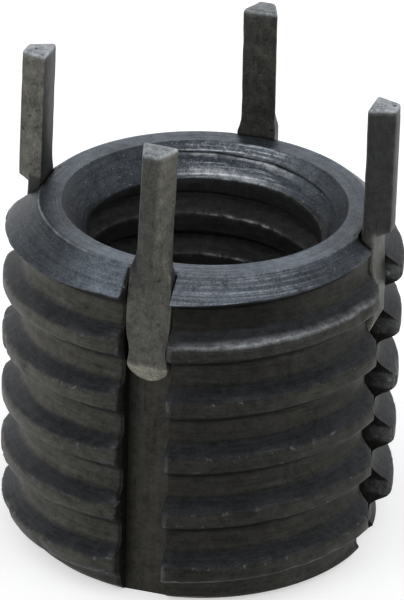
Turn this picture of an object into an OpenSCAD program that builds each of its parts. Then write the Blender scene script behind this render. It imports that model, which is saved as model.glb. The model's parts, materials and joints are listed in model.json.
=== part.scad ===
// Key-locking threaded insert: a black-finished steel sleeve, threaded outside and tapped inside,
// with four steel keys standing in slots cut through the outer thread. The sleeve is screwed into
// a tapped hole, then the keys are driven down their slots to lock it there.

/* [Sleeve] */
// Length of the sleeve from its bottom end to its flat top ring
sleeve_length = 12.4; // [9:0.1:18]
// Diameter of the bore at the crests of the inner thread
bore_diameter = 8.1; // [7.2:0.1:8.8]
// Diameter of the countersink where it meets the top ring
countersink_diameter = 9.86; // [9.2:0.02:10.6]
// Depth of the countersink at the top of the bore
countersink_depth = 1.08; // [0.6:0.02:1.6]
// Depth of the 45 degree chamfer at the bottom of the bore
bottom_chamfer = 0.4; // [0.2:0.05:0.8]
// Outer diameter of the flat top ring, where the bevel starts
ring_diameter = 11.42; // [11:0.02:11.8]
// Slope of the top bevel below the horizontal
bevel_angle = 40; // [30:1:50]
// Diameter of the bottom end face
end_diameter = 11.5; // [11.2:0.1:12]
// Diameter at which the chamfer above the end face turns into the steeper lead-in
lead_diameter = 12.8; // [12.4:0.1:13.2]
// Height of that chamfer
end_height = 0.4; // [0.2:0.05:0.6]
// Height at which the lead-in reaches the crests
lead_height = 1.07; // [0.8:0.01:1.4]

/* [Outer thread] */
// Diameter over the crests of the outer thread
crest_diameter = 13.85; // [13.6:0.05:14.2]
// Rise of the outer thread in one turn
pitch = 2.117; // [2:0.001:2.3]
// Width of the flat left on each crest
crest_width = 0.48; // [0.4:0.02:0.56]
// Depth of the groove from crest to root
thread_depth = 0.75; // [0.6:0.05:0.9]
// Angle between each flank and a plane square to the axis
flank_angle = 30; // [26:1:32]
// Radius between each flank and the root
root_radius = 0.25; // [0.1:0.05:0.3]
// Drop of the first full crest below the top ring, on the -X side
crest_drop = 2.95; // [1.5:0.05:4]

/* [Inner thread] */
// Diameter at the roots of the inner thread
inner_root_diameter = 9.52; // [9.3:0.02:9.7]
// Rise of the inner thread in one turn
inner_pitch = 1.5875; // [1.5:0.0125:1.75]
// Width of the flat at the root of the inner thread
inner_root_width = 0.1; // [0.06:0.02:0.2]
// Drop of its uppermost root below the top ring, on the +Y side
inner_drop = 0.4; // [0:0.05:1.5]

/* [Key slots] */
// Direction of the first slot, counted round from +X
first_slot_angle = 73.5; // [0:0.5:90]
// Width of each slot
slot_width = 1.6; // [1.5:0.05:1.8]
// Depth of the slot's flat floor below the crests
slot_depth = 1.275; // [1.2:0.025:1.4]
// Drop of the crests at the relieved wall of each slot
relief_drop = 0.375; // [0.2:0.025:0.5]
// Slope of that relief from the crests down to the wall
relief_angle = 16; // [12:1:30]

/* [Locking keys] */
// Number of keys, spaced evenly
key_count = 4; // [2:1:6]
// Gap left between a key and the floor and walls of its slot
key_clearance = 0.05; // [0.03:0.01:0.1]
// Height of the prong above the top ring, which is also how far the key drives down
prong_height = 4.78; // [3:0.02:6]
// Width of the prong at its inner face
prong_inner_width = 1.28; // [1:0.02:1.28]
// Width of the flat along the prong's outer edge
prong_outer_width = 0.62; // [0.4:0.02:0.9]
// How far the prong's outer flat lies inside the crests
prong_inset = 0.285; // [0.1:0.005:0.5]
// Height of the prong's shoulder above the top ring, at its outer flat
shoulder_height = 0.2; // [0:0.05:0.5]
// Drop of the shoulder from its outer flat to the face of the tongue
shoulder_slope = 0.18; // [0.1:0.02:0.5]
// Height over which the key widens from the prong to the tongue
flare_height = 0.7; // [0.5:0.05:1.2]
// Thickness of the tongue that is pressed into the slot
tongue_thickness = 0.36; // [0.28:0.02:0.5]
// Length of the tongue below the top ring
tongue_length = 4; // [3:0.1:5.5]
// Height of the bevel on the rounded end of the tongue
tongue_bevel = 0.85; // [0.5:0.05:1.2]
// Thickness left at the tip of that bevel
tongue_tip = 0.14; // [0.1:0.02:0.24]

/* [Hidden] */
overcut = 0.3;
steps_per_turn = 44;
fillet_steps = 2;
$fn = 96;

bore_r = bore_diameter / 2;
countersink_r = countersink_diameter / 2;
ring_r = ring_diameter / 2;
crest_r = crest_diameter / 2;
lead_r = lead_diameter / 2;
end_r = end_diameter / 2;
bevel_drop = (crest_r - ring_r) * tan(bevel_angle);

root_r = crest_r - thread_depth;
groove_mouth = pitch - crest_width;
root_width = groove_mouth - 2 * thread_depth * tan(flank_angle);

inner_root_r = inner_root_diameter / 2;
inner_mouth = inner_root_width + 2 * (inner_root_r - bore_r + overcut) * tan(flank_angle);

slot_floor = crest_r - slot_depth;
relief_reach = (relief_drop + overcut) / tan(relief_angle);

key_spacing = 360 / key_count;
key_inner = slot_floor + key_clearance;
prong_reach = crest_r - prong_inset;
tongue_width = slot_width - 2 * key_clearance;
tongue_face = key_inner + tongue_thickness;
key_top = sleeve_length + prong_height;
key_bottom = sleeve_length - tongue_length;

sleeve_colour = [0.21, 0.22, 0.23];
key_colour = [0.29, 0.29, 0.28];

// Half of the outer groove's section, from the root outwards, as [radius, height] pairs
function half_groove() =
    let (
        turn = 90 - flank_angle,
        corner = min(root_radius, root_width / 2 / tan(turn / 2)),
        centre = [root_r + corner, root_width / 2 - corner * tan(turn / 2)]
    )
    concat(
        [for (k = [0:fillet_steps])
            let (a = turn * k / fillet_steps)
            centre + corner * [-cos(a), sin(a)]],
        [[crest_r + overcut, groove_mouth / 2 + overcut * tan(flank_angle)]]
    );

// Whole section of the outer groove, from its upper lip round the root to its lower lip
function outer_groove() =
    let (half = half_groove(), last = len(half) - 1)
    concat(
        [for (k = [last:-1:0]) half[k]],
        [for (p = half) [p[0], -p[1]]]
    );

// Section of the inner groove, from its lower lip round the root to its upper lip
function inner_groove() = [
    [bore_r - overcut, -inner_mouth / 2],
    [inner_root_r, -inner_root_width / 2],
    [inner_root_r, inner_root_width / 2],
    [bore_r - overcut, inner_mouth / 2]
];

// One helical groove that runs out past both ends of the sleeve, given its section, its rise in a
// turn and the height of its middle line on the +X side
module helical_groove(section, rise, start) {
    count = len(section);
    first = 360 * (-rise - start) / rise;
    last = 360 * (sleeve_length + rise - start) / rise;
    steps = ceil((last - first) / 360 * steps_per_turn);
    points = [
        for (s = [0:steps])
            let (angle = first + (last - first) * s / steps)
            for (p = section)
                [p[0] * cos(angle), p[0] * sin(angle), start + rise * angle / 360 + p[1]]
    ];
    sides = [
        for (s = [0:steps - 1], k = [0:count - 1])
            let (
                a = s * count + k,
                b = s * count + (k + 1) % count
            )
            each [[a, b + count, a + count], [a, b, b + count]]
    ];
    near_end = [for (k = [count - 1:-1:0]) k];
    far_end = [for (k = [0:count - 1]) steps * count + k];
    polyhedron(points, concat(sides, [near_end, far_end]), convexity = 20);
}

// Turned blank: bore, countersink, flat ring, bevel, crest cylinder and lead-in
module sleeve_blank() {
    rotate_extrude()
        polygon([
            [bore_r + bottom_chamfer, 0],
            [end_r, 0],
            [lead_r, end_height],
            [crest_r, lead_height],
            [crest_r, sleeve_length - bevel_drop],
            [ring_r, sleeve_length],
            [countersink_r, sleeve_length],
            [bore_r, sleeve_length - countersink_depth],
            [bore_r, bottom_chamfer]
        ]);
}

// Flat-floored slot milled the whole length of the sleeve, with the crests relieved along one wall
module key_slot() {
    translate([0, 0, -overcut])
        linear_extrude(sleeve_length + 2 * overcut)
            polygon([
                [slot_floor, slot_width / 2],
                [slot_floor, -slot_width / 2],
                [crest_r - relief_drop, -slot_width / 2],
                [crest_r + overcut, -slot_width / 2 - relief_reach],
                [crest_r + overcut, slot_width / 2]
            ]);
}

module sleeve() {
    color(sleeve_colour)
        difference() {
            sleeve_blank();
            helical_groove(outer_groove(), pitch, sleeve_length - crest_drop - pitch);
            helical_groove(inner_groove(), inner_pitch, sleeve_length - inner_drop - inner_pitch / 4);
            for (i = [0:key_count - 1])
                rotate(first_slot_angle + i * key_spacing)
                    key_slot();
        }
}

// Prong: a wedge-sided bar that ends in a sloping shoulder above the tongue
module prong() {
    intersection() {
        linear_extrude(key_top)
            polygon([
                [key_inner, -prong_inner_width / 2],
                [prong_reach, -prong_outer_width / 2],
                [prong_reach, prong_outer_width / 2],
                [key_inner, prong_inner_width / 2]
            ]);
        translate([0, slot_width / 2, 0])
            rotate([90, 0, 0])
                linear_extrude(slot_width)
                    polygon([
                        [key_inner, key_top],
                        [prong_reach, key_top],
                        [prong_reach, sleeve_length + shoulder_height],
                        [tongue_face, sleeve_length + shoulder_height - shoulder_slope],
                        [key_inner, sleeve_length + shoulder_height - shoulder_slope]
                    ]);
    }
}

// Tongue: a thin strip with a round lower end, flaring in hollow curves up to the prong's width
module tongue() {
    flare_width = (tongue_width - prong_inner_width) / 2;
    flare_r = (flare_width * flare_width + flare_height * flare_height) / (2 * flare_width);
    intersection() {
        translate([key_inner, 0, 0])
            rotate([90, 0, 90])
                linear_extrude(tongue_thickness)
                    difference() {
                        union() {
                            translate([0, key_bottom + tongue_width / 2])
                                circle(d = tongue_width);
                            translate([-tongue_width / 2, key_bottom + tongue_width / 2])
                                square([tongue_width, tongue_length + flare_height - tongue_width / 2]);
                        }
                        for (side = [-1, 1])
                            translate([side * (prong_inner_width / 2 + flare_r), sleeve_length + flare_height])
                                circle(flare_r, $fn = 200);
                    }
        translate([0, slot_width / 2, 0])
            rotate([90, 0, 0])
                linear_extrude(slot_width)
                    polygon([
                        [key_inner, key_bottom],
                        [key_inner + tongue_tip, key_bottom],
                        [tongue_face, key_bottom + tongue_bevel],
                        [tongue_face, key_top],
                        [key_inner, key_top]
                    ]);
    }
}

module locking_key(number) {
    color(key_colour)
        rotate(first_slot_angle + (number - 1) * key_spacing)
            union() {
                prong();
                tongue();
            }
}

sleeve();
for (i = [1:key_count])
    locking_key(i);
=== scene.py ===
import json
import math
from types import SimpleNamespace

import bmesh
import bpy
import numpy as np
from mathutils import Matrix, Vector, noise


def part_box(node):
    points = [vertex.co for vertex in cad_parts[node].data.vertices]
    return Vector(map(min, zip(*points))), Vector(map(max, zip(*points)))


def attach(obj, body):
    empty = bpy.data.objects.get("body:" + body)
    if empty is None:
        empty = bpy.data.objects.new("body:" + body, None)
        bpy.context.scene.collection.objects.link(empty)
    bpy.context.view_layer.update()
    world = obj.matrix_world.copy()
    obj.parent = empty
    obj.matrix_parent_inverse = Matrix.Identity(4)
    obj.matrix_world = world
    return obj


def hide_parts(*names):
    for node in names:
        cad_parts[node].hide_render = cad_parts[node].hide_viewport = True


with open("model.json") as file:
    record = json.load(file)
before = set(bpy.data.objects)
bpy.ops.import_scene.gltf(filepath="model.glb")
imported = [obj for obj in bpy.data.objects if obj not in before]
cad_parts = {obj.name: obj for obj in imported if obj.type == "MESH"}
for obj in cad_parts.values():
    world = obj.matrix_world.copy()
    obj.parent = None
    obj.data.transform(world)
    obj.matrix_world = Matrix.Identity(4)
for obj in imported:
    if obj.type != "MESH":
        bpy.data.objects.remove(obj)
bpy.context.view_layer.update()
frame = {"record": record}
scene = bpy.context.scene
scene.view_settings.view_transform = "Standard"

# Sleeve: a turned steel bush with a coarse thread outside and a finer tapped thread inside. Four key
# slots are milled down through the outer thread, with the crests relieved along one wall of each,
# and then the whole piece is chemically blacked.
mm = 0.001
mounts = {mount["name"]: mount["dims"] for mount in frame["record"]["mounts"]}
sleeve_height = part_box("sleeve")[1].z
crest_r = mounts["outer_thread"]["r_mm"] * mm
bore_r = mounts["tapped_bore"]["r_mm"] * mm
ring_r = 5.71 * mm
bevel_angle = math.radians(40)
bevel_slope = math.tan(bevel_angle)
bevel_foot = sleeve_height - (crest_r - ring_r) * bevel_slope
bevel_round = 0.25 * mm
countersink_r = 4.93 * mm
countersink_depth = 1.08 * mm
bottom_chamfer = 0.4 * mm
end_r = 5.75 * mm
end_height = 0.4 * mm
end_round = 0.3 * mm
lead_r = 6.4 * mm
lead_height = 1.07 * mm
edge_round = 0.03 * mm
edge_inset = edge_round * np.array([0.1, 1.5])
edge_drop = edge_round * np.array([0.2, 0.0])
edge_lip = np.array([1.0, 0.6])

outer_pitch = 2.117 * mm
flank_slope = math.tan(math.radians(30))
crest_width = 0.48 * mm
thread_depth = 0.75 * mm
root_r = crest_r - thread_depth
root_half = (outer_pitch - crest_width) / 2 - thread_depth * flank_slope
root_round = 0.26 * mm
crest_drop = 2.95 * mm
crest_round = 0.11 * mm

inner_pitch = 25.4 / 16 * mm
inner_major_r = 4.72 * mm
inner_flat = 0.1 * mm
inner_mouth = inner_flat + 2 * (inner_major_r - bore_r) * flank_slope
inner_drop = 0.4 * mm
inner_round = 0.05 * mm
start_depth = 0.2 * mm
start_slope = 2
# Where the painted shade along the thread-start slit lies and how it fades:
start_width = 0.075 * mm
start_rise = 0.12 * mm
start_begin = math.radians(72)
start_end = math.radians(-14)
start_fade_in = 0.2
start_fade_out = 0.35
start_glint_width = 0.06 * mm

slot_count = 4
first_slot = math.radians(73.5)
slot_half = 0.8 * mm
slot_depth = 1.275 * mm
slot_floor = crest_r - slot_depth
relief_drop = 0.46 * mm
relief_slope = math.tan(math.radians(20))
relief_reach = 0.8 * mm
chamfer_drop = 0.24 * mm
chamfer_reach = 0.2 * mm
chamfer_lip = 0.08 * mm
corner_reach = 0.24 * mm
corner_drop = 0.2 * mm

rubbed_round = 0.18 * mm
rubbed_middle = math.radians(300)
rubbed_spread = math.radians(34)
rubbed_turns = 0.3
rubbed_rise = 0.03 * mm
rubbed_width = 0.07 * mm
rubbed_wall = 0.3
lip_width = 0.06 * mm
bevel_lip_width = 0.1 * mm
bevel_lip_depth = 0.2 * mm
shadow_reach = 0.55 * mm
shadow_share = 0.42
nick_depth = 0.225 * mm
nick_scale = 1.3 / mm
nick_floor = 0.3
nicked_from = 0.6
unworn_top = 0.1 * mm
fine_ragged = 0.042 * mm
fine_scale = 4.0 / mm
broad_ragged = 0.048 * mm
broad_scale = 1.8 / mm

finish_masks = ("raised", "lip", "rubbed", "slot", "corner", "start")
columns_per_turn = 330
column_order = 1e-6
sleeve_crease = math.radians(38)


def soft_min(a, b, blend):
    """The lesser of two profiles, rounded over where they cross."""
    share = np.clip(0.5 + 0.5 * (b - a) / blend, 0, 1)
    return b + (a - b) * share - blend * share * (1 - share)


def soft_max(a, b, blend):
    """The greater of two profiles, rounded over where they cross."""
    return -soft_min(-a, -b, blend)


def ramp(value, low, high):
    """0 below low, 1 above high and even between them."""
    return min(1.0, max(0.0, (value - low) / (high - low)))


def hump(value, centre, width, power=2):
    """1 at the centre, falling away smoothly to either side over about the width."""
    return np.exp(-((value - centre) / width) ** power)


def crest_height(angle):
    """Height of the outer thread's crest at an angle, rising one pitch a turn."""
    return sleeve_height - crest_drop + outer_pitch * (angle - math.pi) / math.tau


def groove_height(angle):
    """Height of the inner thread's groove at an angle."""
    return sleeve_height - inner_drop + inner_pitch * (angle - math.pi / 2) / math.tau


def first_turn(angle, z):
    """1 on the first full crest where it has been rubbed round, on the front, and 0 elsewhere."""
    turns = (z - crest_height(angle % math.tau)) / outer_pitch
    return hump(angle % math.tau, rubbed_middle, rubbed_spread, 4) * hump(turns, 0, rubbed_turns, 4)


def outer_radius(angle, z):
    """Outside of the sleeve: thread profile cut into a bevelled blank."""
    off = np.abs((z - crest_height(angle)) / outer_pitch % 1 - 0.5) * outer_pitch
    flank = root_r + (off - root_half) / flank_slope
    thread = soft_max(root_r, flank, root_round)
    bevel = ring_r + (sleeve_height - z) / bevel_slope
    end = end_r + z * (lead_r - end_r) / end_height
    lead = lead_r + (z - end_height) * (crest_r - lead_r) / (lead_height - end_height)
    blank = soft_min(soft_min(crest_r, bevel, bevel_round), soft_min(end, lead, end_round), end_round)
    return soft_min(thread, blank, crest_round + first_turn(angle, z) * (rubbed_round - crest_round))


def inner_radius(angle, z):
    """Inside of the sleeve: tapped bore with a countersink above and a chamfer below."""
    off = np.abs(((z - groove_height(angle)) / inner_pitch + 0.5) % 1 - 0.5) * inner_pitch
    tapped = soft_min(inner_major_r, inner_major_r - (off - inner_flat / 2) / flank_slope, inner_round)
    cone = countersink_r + (z - sleeve_height) * (countersink_r - bore_r) / countersink_depth
    below_cone = np.maximum(0, sleeve_height - countersink_depth - z)
    tapped = np.minimum(tapped, cone + start_depth + below_cone * start_slope)
    chamfer = bore_r + bottom_chamfer - z
    opened = soft_max(soft_max(bore_r, cone, edge_round), chamfer, edge_round)
    return soft_max(opened, tapped, inner_round)


def corner_limit(side):
    """How far out the crests reach beside a slot: a broad relief on one wall, a broken edge on the other."""
    if side < 0:
        off = -side - slot_half
        chamfer = chamfer_drop * (1 - ramp(off, 0, chamfer_reach))
        return crest_r - relief_drop + off * relief_slope - chamfer
    return crest_r - corner_drop * (1 - ramp(side - slot_half, 0, corner_reach)) ** 2


def phase_rows(shares, pitch, low, high):
    """Row heights that repeat each pitch and keep to the thread, from low to high."""
    turns = range(math.floor(low / pitch), math.ceil(high / pitch) + 1)
    return np.array([(turn + share) * pitch for turn in turns for share in shares])


half_rows = np.array([0, 0.07, 0.100, 0.113, 0.126, 0.15, 0.20, 0.25, 0.285, 0.31, 0.335, 0.37, 0.43, 0.5])
outer_shares = np.concatenate([-half_rows[:0:-1], half_rows[:-1]])
outer_rows = phase_rows(outer_shares, outer_pitch, -sleeve_height, outer_pitch * 2)
inner_shares = np.linspace(0, 1, 10, endpoint=False)
start_shares = np.arange(-0.13, 0.28, 0.025)
inner_rows = np.sort(np.concatenate([
    phase_rows(inner_shares, inner_pitch, -sleeve_height - inner_pitch, inner_pitch * 2),
    phase_rows(start_shares, inner_pitch, -inner_pitch, 0)]))
ring_shares = (0.2, 0.5, 0.8)


def outer_profile(phase):
    """Radii and heights up the outside at an angle, with the masks of its finish."""
    z = np.clip(crest_height(phase) + outer_rows, 0, sleeve_height - edge_round)
    r = outer_radius(phase, z)
    from_crest = np.abs(((z - crest_height(phase)) / outer_pitch + 0.5) % 1 - 0.5) * outer_pitch
    bevel_lip = hump(z, bevel_foot, bevel_lip_width) * (r > crest_r - bevel_lip_depth)
    lip = np.maximum(hump(from_crest, crest_width / 2, lip_width), bevel_lip)
    upper_lip = crest_height(phase % math.tau) + crest_width / 2
    rubbed = first_turn(phase, z) * hump(z, upper_lip + rubbed_rise, rubbed_width)
    raised = np.clip((r - root_r) / thread_depth, 0, 1)
    masks = {
        "raised": np.concatenate([raised, np.ones(2)]),
        "lip": np.concatenate([lip, edge_lip]),
        "rubbed": np.concatenate([rubbed, np.zeros(2)])}
    r = np.concatenate([r, ring_r - edge_inset])
    z = np.concatenate([z, sleeve_height - edge_drop])
    return r, z, masks


def wear_at_slot(masks, side, floor):
    """Changes a column's masks for the floor of a slot, its relieved wall or its other wall. On the floor
    beside the relieved wall, and on the chamfered crest ends beside it, the corner mask marks painted shade.
    """
    raised = masks["raised"]
    if floor:
        shadow = shadow_share * (1 - ramp(side + slot_half, 0, shadow_reach))
        masks.update(raised=0, lip=0, rubbed=0, slot=1, corner=shadow)
    elif side < 0:
        off = -side - slot_half
        masks["corner"] = 1 - ramp(off, 0, chamfer_reach)
        masks["lip"] = np.maximum(masks["lip"], hump(off, chamfer_reach, chamfer_lip) * raised)
    else:
        edge = 1 - ramp(side - slot_half, 0, corner_reach)
        masks["lip"] = np.maximum(masks["lip"], edge * raised ** 2)
        masks["rubbed"] = np.maximum(masks["rubbed"], rubbed_wall * edge * raised ** 6)


def inner_profile(bearing):
    """Points down the inside at an angle, with the masks of its finish. The lip mask also marks a painted
    glint arc at the thread start, and the start mask painted shade along its slit.
    """
    z = np.clip(groove_height(bearing) + inner_rows[::-1], 0, sleeve_height)
    r = inner_radius(bearing, z)
    points = np.stack([r * math.cos(bearing), r * math.sin(bearing), z], 1)
    above = (((z - groove_height(bearing)) / inner_pitch + 0.5) % 1 - 0.5) * inner_pitch
    in_cone = z > sleeve_height - countersink_depth
    lip = np.maximum(hump(above, -inner_mouth / 2, lip_width), hump(above, 0, start_glint_width) * in_cone)
    # Painted shade along the thread-start slit, fading in and out round the back of the countersink.
    turned_back = (bearing - start_end) % math.tau / (start_begin - start_end)
    fade = ramp(turned_back, 0, start_fade_out) * ramp(1 - turned_back, 0, start_fade_in)
    start = hump(above, start_rise, start_width, 4) * fade * in_cone
    return points, {"lip": lip, "start": start}


def sleeve_column(angle, slot=None, side=0.0, floor=False):
    """One closed loop of points round the wall, with its masks; in a slot, at a side of its middle."""
    phase = angle if slot is None else slot + math.asin(side / crest_r)
    r, z, outer_masks = outer_profile(phase)
    if slot is None:
        bearing = angle
        xy = np.stack([r * math.cos(angle), r * math.sin(angle)], 1)
    else:
        bearing = slot + math.asin(side / (ring_r - edge_inset[-1]))
        along = np.sqrt(r ** 2 - side ** 2)
        along = np.minimum(along, slot_floor) if floor else soft_min(along, corner_limit(side), edge_round)
        xy = np.stack([along * math.cos(slot) - side * math.sin(slot),
                       along * math.sin(slot) + side * math.cos(slot)], 1)
        wear_at_slot(outer_masks, side, floor)
    outside = np.concatenate([xy, z[:, None]], 1)
    inside, inner_masks = inner_profile(bearing)
    ring = [outside[-1] + (inside[0] - outside[-1]) * share for share in ring_shares]
    base = [inside[-1] + (outside[0] - inside[-1]) * share for share in ring_shares]
    points = np.concatenate([outside, ring, inside, base])
    masks = {mask: np.zeros(len(points)) for mask in finish_masks}
    for mask, values in outer_masks.items():
        masks[mask][:len(outside)] = values
    first_inside = len(outside) + len(ring)
    for mask, values in inner_masks.items():
        masks[mask][first_inside:first_inside + len(inside)] = values
    return points, masks


def sleeve_columns():
    """All the columns once round, with extra ones at the reliefs, walls and floors of the slots."""
    spacing = math.tau / columns_per_turn
    slots = [first_slot + k * math.tau / slot_count for k in range(slot_count)]
    before = math.asin((slot_half + relief_reach) / ring_r) + spacing / 2
    after = math.asin((slot_half + corner_reach) / ring_r) + spacing / 2
    columns = []
    for k in range(columns_per_turn + 1):
        angle = k * spacing
        turns = [(angle - slot + math.pi) % math.tau - math.pi for slot in slots]
        if not any(-before < turn < after for turn in turns):
            columns.append((angle, sleeve_column(angle)))
    sides = [(-slot_half - relief_reach * share, False) for share in (1, 0.8, 0.6, 0.45, 0.35)]
    sides += [(-slot_half - chamfer_reach * share, False) for share in (1, 0.75, 0.5, 0.25)]
    sides += [(-slot_half, False), (-slot_half, True)]
    sides += [(slot_half * share, True) for share in (-0.75, -0.5, -0.25, 0, 0.25, 0.5, 0.75)]
    sides += [(slot_half, True), (slot_half, False)]
    sides += [(slot_half + corner_reach * share, False) for share in (0.2, 0.5, 1)]
    for slot in slots:
        for order, (side, floor) in enumerate(sides):
            place = slot + math.asin(side / ring_r) + order * column_order
            columns.append((place, sleeve_column(place, slot, side, floor)))
    columns.sort(key=lambda column: column[0])
    return [column for place, column in columns]


def loft_faces(loops, count):
    """Quads between closed loops of points that follow one another."""
    faces = []
    for loop in range(loops - 1):
        for i in range(count):
            j = (i + 1) % count
            near = loop * count
            far = near + count
            faces.append((near + i, near + j, far + j, far + i))
    return faces


def mesh_object(name, points, faces, masks, crease):
    """A closed mesh object from points, faces and named finish masks, sharp past the crease angle."""
    weld = 0.0004 * mm
    form = bmesh.new()
    layers = {mask: form.verts.layers.float.new(mask) for mask in masks}
    verts = [form.verts.new(point) for point in points]
    for mask, values in masks.items():
        for vert, value in zip(verts, values):
            vert[layers[mask]] = value
    for face in faces:
        form.faces.new([verts[k] for k in face])
    bmesh.ops.remove_doubles(form, verts=form.verts, dist=weld)
    bmesh.ops.dissolve_degenerate(form, edges=form.edges, dist=weld / 2)
    bmesh.ops.recalc_face_normals(form, faces=form.faces)
    for face in form.faces:
        face.smooth = True
    mesh = bpy.data.meshes.new(name)
    form.to_mesh(mesh)
    form.free()
    mesh.set_sharp_from_angle(angle=crease)
    piece = bpy.data.objects.new(name, mesh)
    scene.collection.objects.link(piece)
    return piece


def lumps(point, scale, floor=0.0):
    """How far smooth noise at a point stands above a floor."""
    return max(0.0, noise.noise(Vector(point) * scale) - floor)


def make_sleeve():
    """The whole sleeve as one closed mesh, with nicked crests and ragged lips."""
    columns = sleeve_columns()
    points = np.concatenate([points for points, masks in columns])
    masks = {mask: np.concatenate([masks[mask] for points, masks in columns]) for mask in finish_masks}
    radius = np.hypot(points[:, 0], points[:, 1])
    nicked = (masks["raised"] > nicked_from) & (points[:, 2] < sleeve_height - unworn_top)
    for k in np.nonzero(nicked)[0]:
        dent = nick_depth * lumps(points[k], nick_scale, nick_floor) * masks["raised"][k] ** 3
        ragged = fine_ragged * lumps(points[k], fine_scale) + broad_ragged * lumps(points[k], broad_scale)
        points[k, :2] *= 1 - (dent + ragged * masks["lip"][k]) / radius[k]
    faces = loft_faces(len(columns), len(columns[0][0]))
    return mesh_object("blackened_sleeve", points, faces, masks, sleeve_crease)


class Wire:
    """A shader socket to reckon with: an operator on it adds a Math node to its tree."""

    def __init__(self, tree, socket=None):
        self.tree = tree
        self.socket = socket

    def node(self, kind, settings=None, sockets=None, output=0):
        """Adds a node, applies its settings, fills or links its sockets and gives one output."""
        made = self.tree.nodes.new("ShaderNode" + kind)
        for name, value in (settings or {}).items():
            setattr(made, name, value)
        for name, value in (sockets or {}).items():
            if isinstance(value, Wire):
                self.tree.links.new(value.socket, made.inputs[name])
            else:
                made.inputs[name].default_value = value
        return Wire(self.tree, made.outputs[output] if made.outputs else None)

    def math(self, operation, *values):
        """A Math node on values or other sockets."""
        return self.node("Math", {"operation": operation}, dict(enumerate(values)))

    def __add__(self, other):
        return self.math("ADD", self, other)

    __radd__ = __add__

    def __sub__(self, other):
        return self.math("SUBTRACT", self, other)

    def __rsub__(self, other):
        return self.math("SUBTRACT", other, self)

    def __mul__(self, other):
        return self.math("MULTIPLY", self, other)

    __rmul__ = __mul__

    def __truediv__(self, other):
        return self.math("DIVIDE", self, other)

    def __rtruediv__(self, other):
        return self.math("DIVIDE", other, self)

    def __pow__(self, other):
        return self.math("POWER", self, other)

    def __rpow__(self, other):
        return self.math("POWER", other, self)

    def __abs__(self):
        return self.math("ABSOLUTE", self)

    def step(self, low, high):
        """0 below low, 1 above high and smooth between them."""
        return self.node("MapRange", {"interpolation_type": "SMOOTHSTEP"},
                         {"Value": self, "From Min": low, "From Max": high})

    def around(self, centre, near, far):
        """1 nearer to the centre than near, 0 further from it than far and smooth between them."""
        return 1 - abs(self - centre).step(near, far)

    def mix(self, first, second):
        """A colour between two others, with this socket as the share of the second."""
        return self.node("Mix", {"data_type": "RGBA"}, {0: self, 6: first, 7: second}, 2)

    def tint(self, colour):
        """A colour made lighter or darker by this socket."""
        return self.node("VectorMath", {"operation": "SCALE"}, {0: colour, "Scale": self})

    def scale(self, factor):
        """This socket's vector made longer by a number."""
        return self.node("VectorMath", {"operation": "SCALE"}, {0: self, "Scale": factor})

    def vector(self, x, y, z):
        """A vector from three values or sockets."""
        return self.node("CombineXYZ", {}, {"X": x, "Y": y, "Z": z})

    def grain(self, scale, detail=3.0, rough=0.55):
        """Noise from 0 to 1 over this socket's vector."""
        return self.node("TexNoise", {}, {
            "Vector": self, "Scale": scale, "Detail": detail, "Roughness": rough})

    def mask(self, name):
        """One of the finish masks that the mesh carries."""
        return self.node("Attribute", {"attribute_name": name}, output="Fac")


def blank_tree(owner):
    """Empties the owner's node tree and gives a wire to build it with."""
    owner.use_nodes = True
    owner.node_tree.nodes.clear()
    return Wire(owner.node_tree)


top = sleeve_height / mm
feed_step = 0.2 * mm
bump_depth = 0.022 * mm
thread_black = (0.051, 0.050, 0.0445)
flank_black = (0.036, 0.0385, 0.042, 1)
turned_black = (0.103, 0.118, 0.138)
bore_black = (0.0245, 0.025, 0.026, 1)
painted_groove_light = (0.062, 0.063, 0.066, 1)
slot_black = (0.037, 0.036, 0.031, 1)
wall_shade_black = (0.017, 0.017, 0.0155, 1)
slit_shade_black = (0.003, 0.003, 0.003, 1)
nicked_steel = (0.14, 0.143, 0.145, 1)
bore_lip_highlight = (0.13, 0.13, 0.125, 1)
bore_glint = (0.33, 0.335, 0.35, 1)
ring_edge_highlight = (0.36, 0.385, 0.41, 1)
rubbed_highlight_steel = (0.27, 0.283, 0.296, 1)
tool_line_highlight = (0.42, 0.44, 0.48, 1)
glint_steel = (0.55, 0.57, 0.60, 1)
sparkle_steel = (0.45, 0.465, 0.49, 1)
start_glint_steel = (0.60, 0.62, 0.65, 1)


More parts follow.
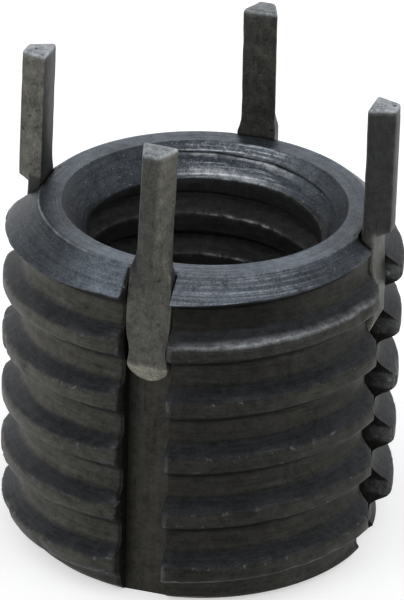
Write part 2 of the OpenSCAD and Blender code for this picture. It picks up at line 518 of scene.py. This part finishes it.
def sleeve_places(wire):
    """Where the sleeve's surfaces lie: coordinates in millimetres, and shares from 0 to 1."""
    at = SimpleNamespace()
    at.point = wire.node("TexCoord", output="Object").scale(1 / mm)
    at.x, at.y, at.z = [wire.node("SeparateXYZ", {}, {0: at.point}, axis) for axis in "XYZ"]
    at.r = (at.x * at.x + at.y * at.y) ** 0.5
    at.angle = wire.math("ARCTAN2", at.y, at.x)
    for mask in finish_masks:
        setattr(at, mask, wire.mask(mask))
    at.flank = at.raised.step(0.08, 0.3) * (1 - at.raised.step(0.85, 1.0))

    at.bevel = (at.z - top + (at.r - ring_r / mm) * bevel_slope).step(-0.07, -0.02)
    at.ring = at.z.step(top - 0.03, top - 0.01)
    at.ring_edge = at.r.around(ring_r / mm, 0.0, 0.07) * at.z.step(top - 0.1, top - 0.05)
    at.inside = 1 - at.r.step(countersink_r / mm - 0.02, countersink_r / mm + 0.02)
    at.cone = at.inside * (at.z - top + countersink_depth / mm).step(-0.03, 0.03)
    at.bore = at.inside - at.cone
    at.face = wire.math("MAXIMUM", at.bevel, at.ring) * (1 - at.inside)
    at.turned = at.face + at.cone

    across = at.x * math.cos(first_slot) + at.y * math.sin(first_slot)
    along = at.y * math.cos(first_slot) - at.x * math.sin(first_slot)
    from_middle = wire.math("MINIMUM", abs(across), abs(along))
    above_floor = at.r.step(slot_floor / mm, slot_floor / mm + 0.1)
    # The slot walls, with the corner mask beside them, are where painted shade goes.
    wall = from_middle.around(slot_half / mm, 0.005, 0.02) * above_floor
    at.walls = wire.math("MAXIMUM", wall, at.corner.step(0.0, 0.5))

    # Shares by side of the sleeve, used to paint light and shade: which sides are painted lighter or darker,
    # and where highlights and glints are painted (the lit_ shares).
    rightward = at.x / at.r
    backward = at.y / at.r
    at.front = 1 - backward.step(-1.0, -0.35)
    at.back = backward.step(0.1, 0.9)
    at.left = 1 - rightward.step(-0.95, -0.1)
    at.right = rightward.step(0.22, 0.58)
    at.middle = at.front * rightward.around(-0.1, 0.42, 0.75)
    at.centre = at.front * rightward.around(0.2, 0.2, 0.55)
    at.lit_back = at.back * rightward.around(0.38, 0.2, 0.9)
    at.lit_bore = at.back * rightward.around(0.32, 0.1, 0.5) * at.bore
    at.lit_cone = at.back * rightward.around(0.2, 0.22, 0.55) * at.cone
    return at


def sleeve_marks(wire, at):
    """The lines that the cutting tools left, the mottle and specks of the blacking, and the noise for
    painted glints and sparkle.
    """
    marks = SimpleNamespace()
    marks.turning = wire.vector(at.r * 10.0, at.z * 10.0, at.angle * 1.6).grain(1.0, 3.0, 0.6)
    marks.drag = wire.vector(at.r * 9.0, at.z * 9.0, at.angle * 5.0).grain(1.0, 3.0, 0.6)
    marks.milled = wire.vector(at.x * 7.0, at.y * 7.0, at.z * 0.5).grain(1.0, 3.0, 0.6)
    down_bevel = at.r * math.cos(bevel_angle) - at.z * math.sin(bevel_angle)
    marks.feed = wire.math("SINE", down_bevel * (math.tau * mm / feed_step)).step(0.0, 0.9)
    marks.mottle = at.point.grain(0.8, 4.0)
    marks.blotch = at.point.grain(3.2, 4.0, 0.65)
    marks.speckle = at.point.grain(15.0, 3.0, 0.75)
    marks.nicks = at.point.grain(2.6, 5.0, 0.75).step(0.56, 0.66)
    marks.glints = at.point.grain(9.0, 3.0, 0.7).step(0.63, 0.73)
    marks.sparkle = at.point.grain(7.0, 4.0, 0.75).step(0.5, 0.68)
    return marks


def blacking(at):
    """The colour of the blacking on each surface before it is worn through. Painted light and shade: each
    surface is lighter or darker by side as the light falls, the bore's deep grooves are lifted with painted
    light, and the slot walls and what lies beside them carry painted shade. The first groove is also darker
    just under the bevel at the front.
    """
    under_bevel = at.centre * at.z.step(top - 2.1, top - 1.6)
    # Painted light and shade: the thread is painted lighter on its left and right sides, where light falls
    # on it; under_bevel darkens the first groove at the front.
    thread_side_light = 0.47 + at.left * 0.85 + at.right * 0.2 - under_bevel * 0.2
    # The ring and bevel are painted lighter at the front and back and the cone at its lit back, as painted
    # highlights; the bore is painted darker on its left, as painted shade.
    ring_side_light = 1.02 + at.front * 0.88 + at.back * 0.38
    bevel_side_light = 0.54 - at.left * 0.12 + at.middle * (0.6 + at.left * 0.65)
    face_side_light = bevel_side_light + (ring_side_light - bevel_side_light) * at.ring
    cone_side_light = 0.36 + at.left * 0.13 + at.lit_back * 0.62
    bore_side_shade = 1 - at.left * 0.35
    # Painted light: the deep parts of the bore's grooves get a lighter colour, lifting the shade in them.
    groove_lift = (at.r - bore_r / mm).step(0.05, 0.5)
    colour = at.flank.mix(thread_side_light.tint(thread_black), flank_black)
    colour = at.face.mix(colour, face_side_light.tint(turned_black))
    colour = at.cone.mix(colour, cone_side_light.tint(turned_black))
    colour = at.bore.mix(colour, bore_side_shade.tint(groove_lift.mix(bore_black, painted_groove_light)))
    colour = at.slot.mix(colour, slot_black)
    # Painted shade on the slot walls and beside them.
    return at.walls.mix(colour, wall_shade_black)


def worn_and_painted_light(at, marks, colour):
    """The blacking with steel showing through at nicked and rubbed lips, and with painted highlights: lines
    along the bore's lips, a bright ring edge, tool lines, glints and sparkle where the light catches, and a
    glint arc at the thread start; and painted shade along the thread-start slit.
    """
    blotch = marks.blotch
    lower_lips = at.lip * (1 - at.inside) * (1 - at.z.step(top - 1.3, top - 1.15))
    highlight_patches = blotch.step(0.32, 0.56) * at.centre * at.bevel * 0.5
    highlight_patches += blotch.step(0.3, 0.5) * at.lit_cone * 1.1
    wear_and_highlights = [
        (lower_lips * marks.nicks * 0.7, nicked_steel),
        # Painted highlights along the lips of the bore's thread, with painted glints on them at the lit
        # back.
        (at.lip * at.bore * (blotch - 0.1), bore_lip_highlight),
        (at.lip.step(0.38, 0.66) * at.lit_bore * blotch.step(0.36, 0.62), bore_glint),
        # The ring's outer edge: partly worn, partly a painted highlight, brightest at the front.
        (at.ring_edge * (blotch - 0.1 + at.centre * 0.5), ring_edge_highlight),
        # The first full crest and the crest ends by the slots' other walls: partly rubbed steel, partly a
        # painted highlight, weaker towards the right.
        (at.rubbed * (0.4 + blotch - at.right * 0.45), rubbed_highlight_steel),
        # Turning and feed lines painted bright only at the front of the bevel and the lit back of the cone:
        # real tool marks with painted highlights.
        (marks.turning.step(0.5, 0.66) * highlight_patches * 0.8, tool_line_highlight),
        (marks.feed * at.centre * at.bevel * blotch.step(0.2, 0.55) * 0.3, tool_line_highlight),
        # Painted glints and sparkle on the turned faces and the cone, most at its lit back, and a painted
        # glint arc at the thread start.
        (marks.glints * (at.cone * 0.5 + at.lit_cone * 0.5 + at.face * 0.3), glint_steel),
        (marks.sparkle * at.lit_cone * 0.45, sparkle_steel),
        (at.lip * at.lit_cone * blotch * 1.4, start_glint_steel),
        # Painted shade in the thread-start slit.
        (at.start * 0.9, slit_shade_black)]
    for share, steel in wear_and_highlights:
        colour = share.mix(colour, steel)
    return colour


def blackened_steel():
    """Blacked steel: rubbed on the lips of the crests, lined where it was turned, dull in the grooves, with
    painted light, shade, highlights and glints.
    """
    material = bpy.data.materials.new("blackened_steel")
    wire = blank_tree(material)
    at = sleeve_places(wire)
    marks = sleeve_marks(wire, at)
    colour = worn_and_painted_light(at, marks, blacking(at))
    shade = 1 + (marks.speckle - 0.5) * (1.7 + at.turned * 0.7)
    shade += (marks.blotch - 0.5) * 1.1 + (marks.mottle - 0.5) * 0.7
    shade += (marks.drag - 0.5) * (1 - at.turned) * (1 - at.slot)
    shade += (marks.turning - 0.5) * at.turned * 1.3 + (marks.milled - 0.5) * at.slot * 0.8
    rough = 0.52 - at.turned * 0.1 - at.rubbed * 0.14 + (marks.speckle - 0.5) * 0.3
    height = marks.turning * at.turned * 0.8 + marks.speckle * 0.6 + marks.blotch * 0.9
    height += marks.drag * (0.6 - at.slot * 0.6) + marks.milled * at.slot * 0.5
    bump = wire.node("Bump", {}, {"Strength": 0.5, "Distance": bump_depth, "Height": height})
    shader = wire.node("BsdfPrincipled", {}, {
        "Base Color": shade.tint(colour), "Metallic": 0.85 + at.turned * 0.15 - at.bore * 0.6,
        "Roughness": rough, "Specular IOR Level": 0.1, "Normal": bump})
    wire.node("OutputMaterial", {}, {"Surface": shader})
    return material


sleeve = make_sleeve()
sleeve.data.materials.append(blackened_steel())
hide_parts("sleeve")
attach(sleeve, "sleeve")

# Locking keys: four drawn steel strips, each with a wedge-sided prong above and a thin round-ended
# tongue below. The tongues sit in the sleeve's slots, and the prongs are driven down after them.
key_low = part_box("locking_key_1")[0].z
key_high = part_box("locking_key_1")[1].z
key_clearance = 0.05 * mm
key_inner = slot_floor + key_clearance
key_edge = 0.09 * mm
key_crown = 0.15 * mm
key_wear = 0.03 * mm
key_wear_scale = 2.2 / mm
key_wear_stretch = 0.7
key_crease = math.radians(34)

tongue_half = slot_half - key_clearance
tongue_face = key_inner + 0.46 * mm
tongue_tip = 0.3 * mm
tongue_bevel = 0.7 * mm
tip_half = 0.06 * mm
waist_depth = 0.09 * mm
waist_height = sleeve_height - 2.8 * mm
waist_reach = 0.45 * mm
swell_half = slot_half - 0.01 * mm
swell_height = sleeve_height - 1.3 * mm
swell_reach = 1.0 * mm
thicker_by = 0.18 * mm
thicker_reach = 2.2 * mm
held_depth = 0.9 * mm

prong_reach = crest_r - 0.285 * mm
prong_inner_half = 0.64 * mm
prong_outer_half = 0.31 * mm
shoulder_low = sleeve_height - 0.14 * mm
shoulder_high = sleeve_height + 0.1 * mm
flare_height = 0.7 * mm
flare_width = swell_half - prong_inner_half
flare_r = (flare_width ** 2 + flare_height ** 2) / (2 * flare_width)
flare_top = sleeve_height + flare_height
plate_low = flare_top - 0.35 * mm
plate_high = flare_top + 0.15 * mm
plate_step = 0.01 * mm

tip_rows = 9
crown_rows = 4
shaft_start = 0.95
shaft_step = 0.12 * mm


def round_corners(corners, radius):
    """Each corner of a section as three points on a small curve."""
    points = []
    for k, corner in enumerate(corners):
        near = []
        for other in (corners[k - 1], corners[(k + 1) % len(corners)]):
            edge = other - corner
            near.append(corner + edge * min(0.45, radius / max(edge.length, 1e-9)))
        points += [near[0], (near[0] + near[1] + corner * 2) / 4, near[1]]
    return points


def key_section(z):
    """The key's section at a height, as points that run outwards from the axis and across the slot."""
    rise = min(z - key_low, tongue_half)
    half = math.sqrt(max(tongue_half ** 2 - (tongue_half - rise) ** 2, tip_half ** 2))
    half -= waist_depth * hump(z, waist_height, waist_reach)
    half += (swell_half - tongue_half) * hump(z, swell_height, swell_reach, 4)
    if z > sleeve_height:
        drop = max(0.0, flare_top - z)
        half = prong_inner_half + flare_r - math.sqrt(flare_r ** 2 - drop ** 2)
    blunt = tongue_face + thicker_by - key_inner - tongue_tip
    bevel = blunt * (1 - ramp(z, key_low, key_low + tongue_bevel))
    face = tongue_face - bevel + thicker_by * ramp(sleeve_height - z, 0, thicker_reach)
    taper = (prong_inner_half - prong_outer_half) / (prong_reach - key_inner)
    foot = prong_inner_half - taper * (tongue_face - key_inner)
    plate = half + (foot + plate_step - half) * ramp(z, plate_low, plate_high)
    step = ramp(z, shoulder_low, shoulder_high)
    outer = face + (prong_reach - face) * math.sin(step * math.pi / 2)
    side = min(1.0, half / prong_inner_half)
    right = [(key_inner, half), (face, plate), (face, foot * side), (outer, prong_outer_half * side)]
    corners = [Vector(corner) for corner in right]
    corners += [Vector((u, -v)) for u, v in reversed(right)]
    return round_corners(corners, key_edge)


def key_rows(high):
    """Heights of a key's sections up to its top, with how far each is drawn in at the worn crown."""
    tip = [key_low + tongue_half * (1 - math.cos(math.pi / 2 * k / tip_rows)) for k in range(tip_rows)]
    shaft = np.arange(key_low + tongue_half * shaft_start, high - key_crown, shaft_step)
    bends = [math.pi / 2 * k / crown_rows for k in range(crown_rows + 1)]
    crown = [(high - key_crown * (1 - math.sin(bend)), key_crown * (1 - math.cos(bend))) for bend in bends]
    return [(z, 0.0) for z in [*tip, *shaft]] + crown


# Painted light and shade: how pale each face of the tongue and of the prong is painted, as the light falls
# on it.
tongue_face_shades = [0.05, 0.21, 0.21, 0.21, 0.21, 0.21, 0.21, 0.11]
prong_face_shades = [0.355, 0.355, 0.355, 0.12, 0.0, 0.0, 0.0]
tongue_corners = (1, 6)
prong_corners = (3, 4, 7)
corner_wear = 0.12
side_lift = 0.2 * mm
# Painted shade on the tongue just under the shoulder.
shoulder_shade_share = 0.4
shoulder_shade_height = shoulder_low - 0.2 * mm
shoulder_shade_reach = 0.22 * mm
pale_height = key_low + tongue_bevel + 0.06 * mm
pale_ragged = 0.15 * mm
pale_blend = 0.12 * mm
cut_low = 1.1 * key_crown
cut_high = 0.3 * key_crown


def key_shade_and_wear(k, z, inner, uneven):
    """How pale the steel is at a point of a section: painted light and shade that differ from face to face,
    painted shade just under the shoulder, pale worn corners, and paler towards the tip.
    """
    edge = k // 3 - (k % 3 == 0)
    above = ramp(z - side_lift * (edge == 0), shoulder_high - key_edge, shoulder_high)
    level = tongue_face_shades[edge] + ((prong_face_shades + [inner])[edge] - tongue_face_shades[edge]) * above
    level *= 1 - shoulder_shade_share * hump(z, shoulder_shade_height, shoulder_shade_reach)
    pale_top = pale_height + pale_ragged * uneven
    level += (1 - level) * (1 - ramp(z, pale_top - pale_blend, pale_top))
    worn = k // 3 in (prong_corners if z > shoulder_high else tongue_corners)
    return level + corner_wear * (k % 3 == 1) * worn


def make_key(name, bearing, seed, foot=0.0, top=0.0, twist=0.0, short=0.0, out=0.0,
             lean=0.0, cut_top_highlight=1.0, inner=0.105):
    """One key as a loft of sections from the tongue's tip to the prong's top, standing a little askew."""
    high = key_high - short
    rows = key_rows(high)
    pivot = Vector((key_inner, 0))
    points = []
    shade_and_wear = []
    cut = []
    for z, shrink in rows:
        section = key_section(z)
        centre = sum(section, Vector((0, 0))) / len(section)
        free = ramp(z, sleeve_height - held_depth, sleeve_height)
        up_prong = ramp(z, flare_top, key_high)
        turn = Matrix.Rotation(twist * free, 2)
        for k, spot in enumerate(section):
            inward = (centre - spot).normalized()
            place = Vector((spot.x, spot.y, z * key_wear_stretch)) * key_wear_scale + Vector((seed, 0, 0))
            uneven = noise.noise(place)
            spot = spot + inward * (shrink + key_wear * max(0.0, uneven))
            spot = pivot + turn @ (spot - pivot)
            u = spot.x + out * free + lean * up_prong
            v = min(swell_half, max(-swell_half, spot.y + free * (foot + (top - foot) * up_prong)))
            points.append((u * math.cos(bearing) - v * math.sin(bearing),
                           u * math.sin(bearing) + v * math.cos(bearing), z))
            shade_and_wear.append(key_shade_and_wear(k, z, inner, uneven))
            cut.append(cut_top_highlight * ramp(z, high - cut_low, high - cut_high))
    count = len(section)
    tip_face = tuple(range(count - 1, -1, -1))
    top_face = tuple(range(len(points) - count, len(points)))
    faces = [tip_face, top_face] + loft_faces(len(rows), count)
    return mesh_object(name, points, faces, {"shade_and_wear": shade_and_wear, "cut": cut}, key_crease)


dark_steel = (0.016, 0.0165, 0.017, 1)
pale_steel = (0.215, 0.208, 0.170, 1)
cut_steel = (0.41, 0.43, 0.45, 1)
pit_black = (0.02, 0.02, 0.018, 1)
pit_depth = 0.03 * mm
along_key = (1.0, 1.0, 0.3)


def drawn_steel():
    """Drawn steel: grey-brown and mottled, streaked along its length and pitted, bright where it was cut,
    with painted light and shade that differ from face to face.
    """
    material = bpy.data.materials.new("drawn_steel")
    wire = blank_tree(material)
    point = wire.node("TexCoord", output="Object").scale(1 / mm)
    along = wire.node("VectorMath", {"operation": "MULTIPLY"}, {0: point, 1: along_key})
    streak = along.grain(8.0, 4.0, 0.65)
    mottle = point.grain(2.2, 5.0, 0.65)
    speckle = point.grain(12.0, 3.0, 0.75)
    pits = 1 - wire.node("TexVoronoi", {}, {"Vector": point, "Scale": 1.7}, "Distance").step(0.06, 0.15)
    # Painted light and shade per face, with worn corners, from the shade_and_wear mask.
    colour = wire.mask("shade_and_wear").mix(dark_steel, pale_steel)
    colour = wire.mask("cut").mix(colour, cut_steel)
    colour = (pits * 0.85).mix(colour, pit_black)
    shade = 1 + (streak - 0.5) * 1.2 + (mottle - 0.5) * 2.4 + (speckle - 0.5) * 2.0
    rough = 0.5 + (streak - 0.5) * 0.25
    height = streak * 0.6 + mottle * 0.9 + speckle * 0.4 - pits * 1.5
    bump = wire.node("Bump", {}, {"Strength": 0.5, "Distance": pit_depth, "Height": height})
    shader = wire.node("BsdfPrincipled", {}, {
        "Base Color": shade.tint(colour), "Metallic": 0.6, "Roughness": rough, "Normal": bump})
    wire.node("OutputMaterial", {}, {"Surface": shader})
    return material


# Each key's stance. The cut top is partly bare steel and partly painted highlight, stronger on some keys
# than others; the inner face's paleness is painted light and shade.
key_stances = [
    {"foot": -0.15 * mm, "top": -0.1 * mm, "cut_top_highlight": 0.63, "inner": 0.165},
    {"out": 0.04 * mm, "lean": -0.08 * mm, "inner": 0.03},
    {"foot": 0.02 * mm, "top": 0.14 * mm, "twist": math.radians(-4), "short": 0.12 * mm, "cut_top_highlight": 0.77},
    {"out": 0.06 * mm, "short": 0.12 * mm}]
seed_step = 3.0
steel = drawn_steel()
for number, stance in enumerate(key_stances, 1):
    bearing = first_slot + (number - 1) * math.tau / slot_count
    key = make_key(f"steel_key_{number}", bearing, seed_step * number, **stance)
    key.data.materials.append(steel)
    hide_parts(f"locking_key_{number}")
    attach(key, f"key_{number}")

# Floor: a wide sheet of matt white card that the insert stands on. The light on it is lifted a
# little for the camera and in reflections, so that it reads as white paper with a soft shadow.
floor_reach = 1.5
floor_lift = 0.48
card_white = (0.82, 0.82, 0.82, 1)
card = bpy.data.meshes.new("card")
corners = [(-floor_reach, -floor_reach, 0), (floor_reach, -floor_reach, 0),
           (floor_reach, floor_reach, 0), (-floor_reach, floor_reach, 0)]
card.from_pydata(corners, [], [(0, 1, 2, 3)])
floor = bpy.data.objects.new("card", card)
scene.collection.objects.link(floor)
white = bpy.data.materials.new("white_card")
wire = blank_tree(white)
seen = wire.node("LightPath", output="Is Camera Ray") + wire.node("LightPath", output="Is Glossy Ray")
seen = seen + wire.node("LightPath", output="Is Transmission Ray")
lift = wire.node("Emission", {}, {"Color": (1, 1, 1, 1), "Strength": floor_lift})
dark = wire.node("Emission", {}, {"Color": (0, 0, 0, 1), "Strength": 0.0})
glow = wire.node("MixShader", {}, {0: seen, 1: dark, 2: lift})
matt = wire.node("BsdfDiffuse", {}, {"Color": card_white})
paper = wire.node("AddShader", {}, {0: matt, 1: glow})
wire.node("OutputMaterial", {}, {"Surface": paper})
card.materials.append(white)

# Light: an even, pale room with one dim stretch of ceiling behind the insert, which the upper
# flanks of its thread face.
room_light = (1.05, 1.05, 1.05, 1)
dim_light = (0.22, 0.24, 0.27, 1)
dim_height = math.radians(68)
dim_reach = math.radians(42)
dim_core = math.radians(26)
dim_place = Vector((0, math.cos(dim_height), math.sin(dim_height)))
world = bpy.data.worlds.new("studio")
scene.world = world
wire = blank_tree(world)
direction = wire.node("TexCoord", output="Generated")
towards = wire.node("VectorMath", {"operation": "DOT_PRODUCT"}, {0: direction, 1: dim_place}, "Value")
sky = towards.step(math.cos(dim_reach), math.cos(dim_core)).mix(room_light, dim_light)
room = wire.node("Background", {}, {"Color": sky, "Strength": 1.0})
wire.node("OutputWorld", {}, {"Surface": room})

# Camera: a long lens a hand's breadth away, tipped a little to one side. It looks down on the
# insert at the photograph's angle, and frames it as the photograph does.
camera_distance = 175 * mm
camera_rise = math.radians(27.454)
camera_roll = math.radians(1.746)
orbit_height = sleeve_height - 6 * mm
aim = Vector((-0.0082 * mm, 0, sleeve_height - 3.8123 * mm))
frame_height_px = 600
focal_px = 5018.3
eye = Vector((0, -camera_distance * math.cos(camera_rise),
              orbit_height + camera_distance * math.sin(camera_rise)))
forward = (aim - eye).normalized()
level = forward.cross(Vector((0, 0, 1))).normalized()
upright = level.cross(forward)
right = level * math.cos(camera_roll) + upright * math.sin(camera_roll)
above = upright * math.cos(camera_roll) - level * math.sin(camera_roll)
lens = bpy.data.cameras.new("camera")
lens.sensor_width = 36
lens.lens = focal_px * lens.sensor_width / frame_height_px
lens.clip_start = 10 * mm
camera = bpy.data.objects.new("camera", lens)
camera.matrix_world = Matrix.Translation(eye) @ Matrix((right, above, -forward)).transposed().to_4x4()
scene.collection.objects.link(camera)
scene.camera = camera
